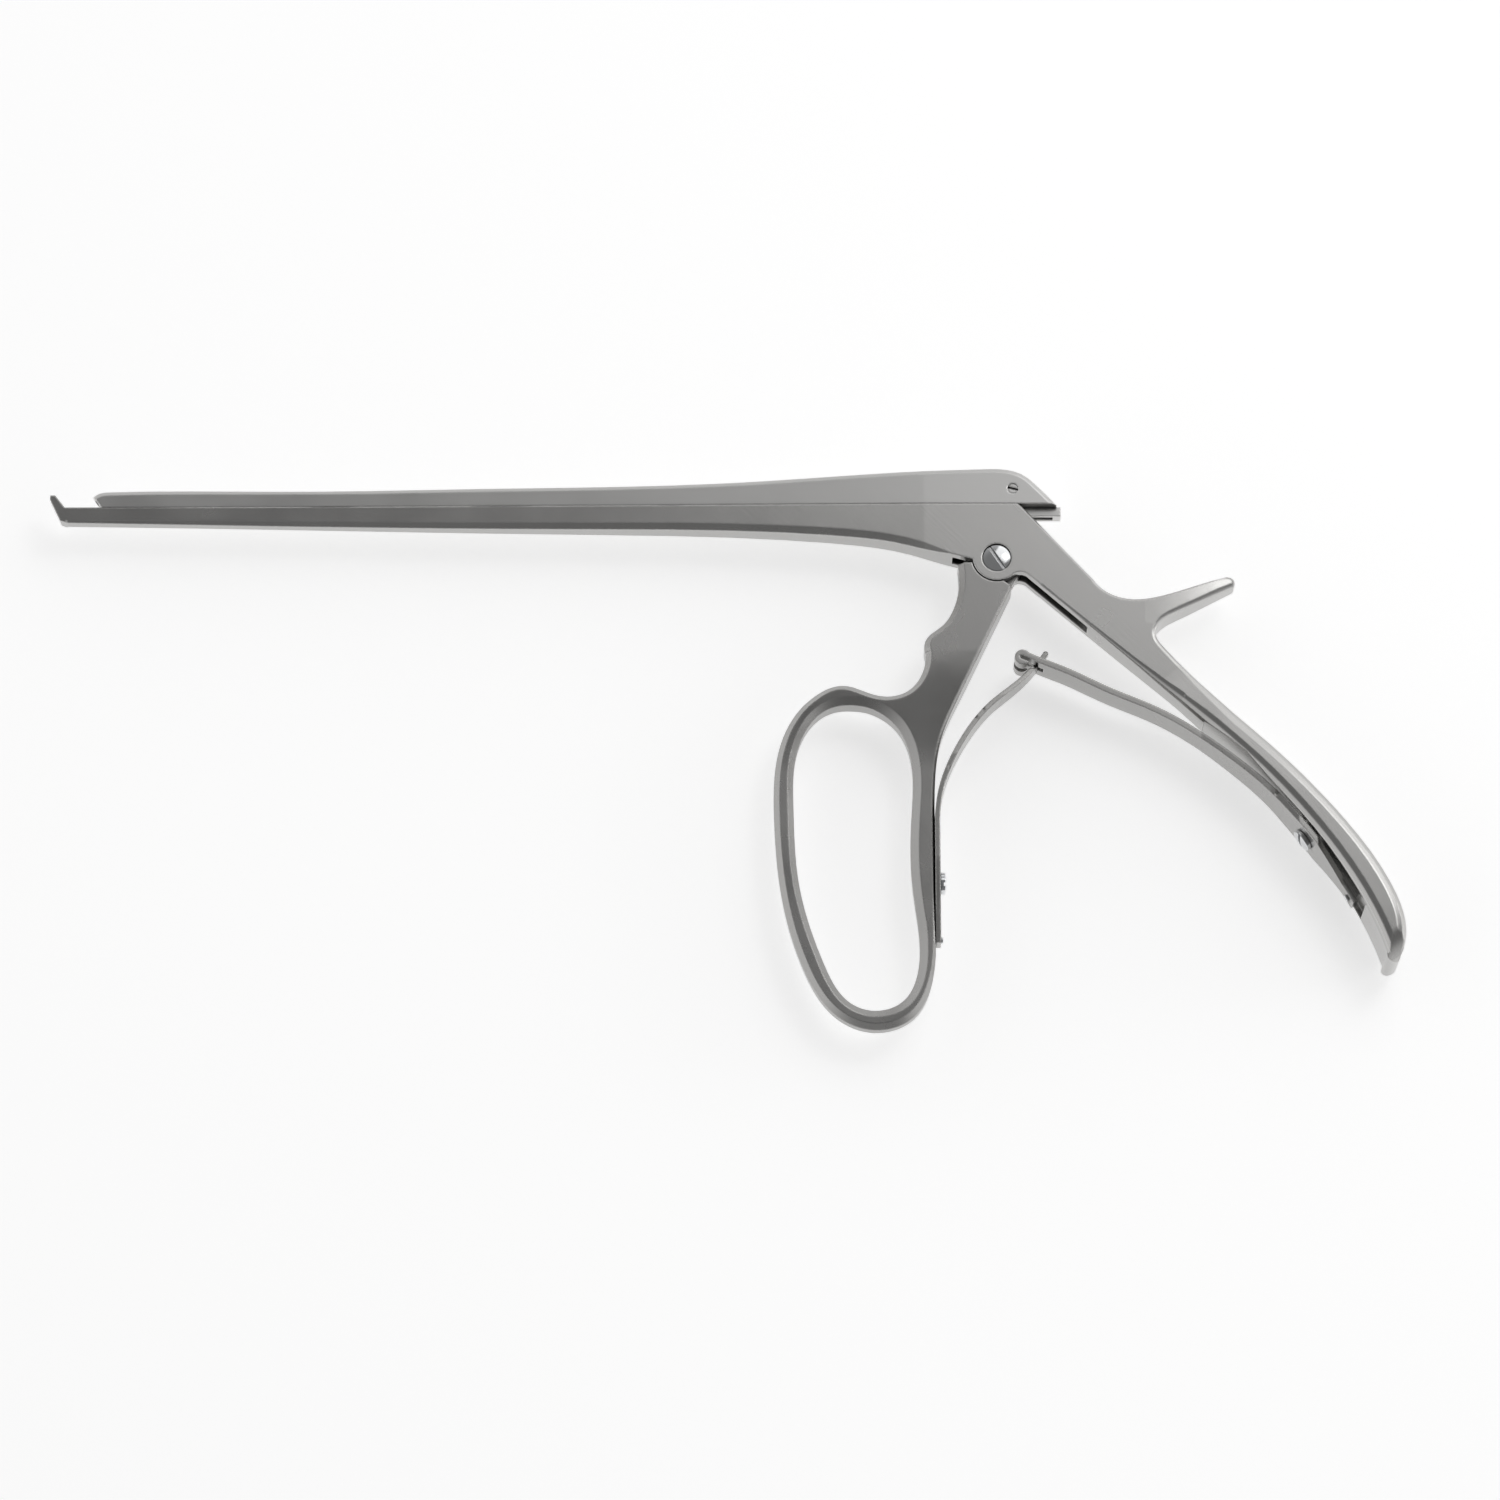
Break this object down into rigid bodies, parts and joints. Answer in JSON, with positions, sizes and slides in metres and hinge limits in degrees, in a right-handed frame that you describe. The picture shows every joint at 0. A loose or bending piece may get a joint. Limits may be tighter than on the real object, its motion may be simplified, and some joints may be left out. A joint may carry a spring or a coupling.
{
  "type": "bone rongeur",
  "caption": "Up-cutting punch rongeur: a sliding upper shaft closes on an angled footplate when a looped front handle is squeezed against a sprung rear handle.",
  "frame": {"origin": "where the pivot axis of the front handle meets the lower side face of the hinge block", "axes": "+X from the biting tip towards the rear handle, along the straight shaft; +Y away from the handles, towards the sliding upper shaft; +Z across the thickness, along the pivot axis, towards the side that carries the pivot screw's head"},
  "size_m": [0.3024, 0.1309, 0.0162],
  "materials": {
    "satin_steel": "satin",
    "polished_steel": "polished",
    "spring_steel": "satin"
  },
  "bodies": {
    "frame": {"frame": "satin_steel", "pivot_screw": "polished_steel", "rear_spring_screw": "polished_steel", "rear_spring_pin": "polished_steel"},
    "slider": {"slider": "satin_steel", "drive_pin": "polished_steel"},
    "trigger": {"trigger": "satin_steel", "front_spring_screw": "polished_steel", "front_spring_pin": "polished_steel"},
    "front_leaf": {"front_spring": "spring_steel"},
    "rear_leaf": {"rear_spring": "spring_steel"}
  },
  "joints": [
    {"name": "trigger_hinge", "type": "hinge", "parent": "frame", "child": "trigger", "pos_m": [0, 0, 0.0043], "axis": [0, 0, 1], "range_deg": [0, 28], "stiffness_Nm_per_rad": 2, "springref_deg": -11.46},
    {"name": "slider_slide", "type": "slide", "parent": "frame", "child": "slider", "axis": [-1, 0, 0], "range_m": [0, 0.00826]},
    {"name": "front_leaf_bend", "type": "hinge", "parent": "trigger", "child": "front_leaf", "pos_m": [-0.014, -0.062, 0.0043], "axis": [0, 0, 1], "range_deg": [0, 9], "deforming": ["front_spring"]},
    {"name": "rear_leaf_bend", "type": "hinge", "parent": "frame", "child": "rear_leaf", "pos_m": [0.0425, -0.04, 0.0043], "axis": [0, 0, 1], "range_deg": [-12.6, 0], "deforming": ["rear_spring"]}
  ],
  "couplings": [
    {"joint": "slider_slide", "follows": "trigger_hinge", "m_per_rad": 0.01688},
    {"joint": "front_leaf_bend", "follows": "trigger_hinge", "ratio": 0.31},
    {"joint": "rear_leaf_bend", "follows": "trigger_hinge", "ratio": -0.445}
  ]
}
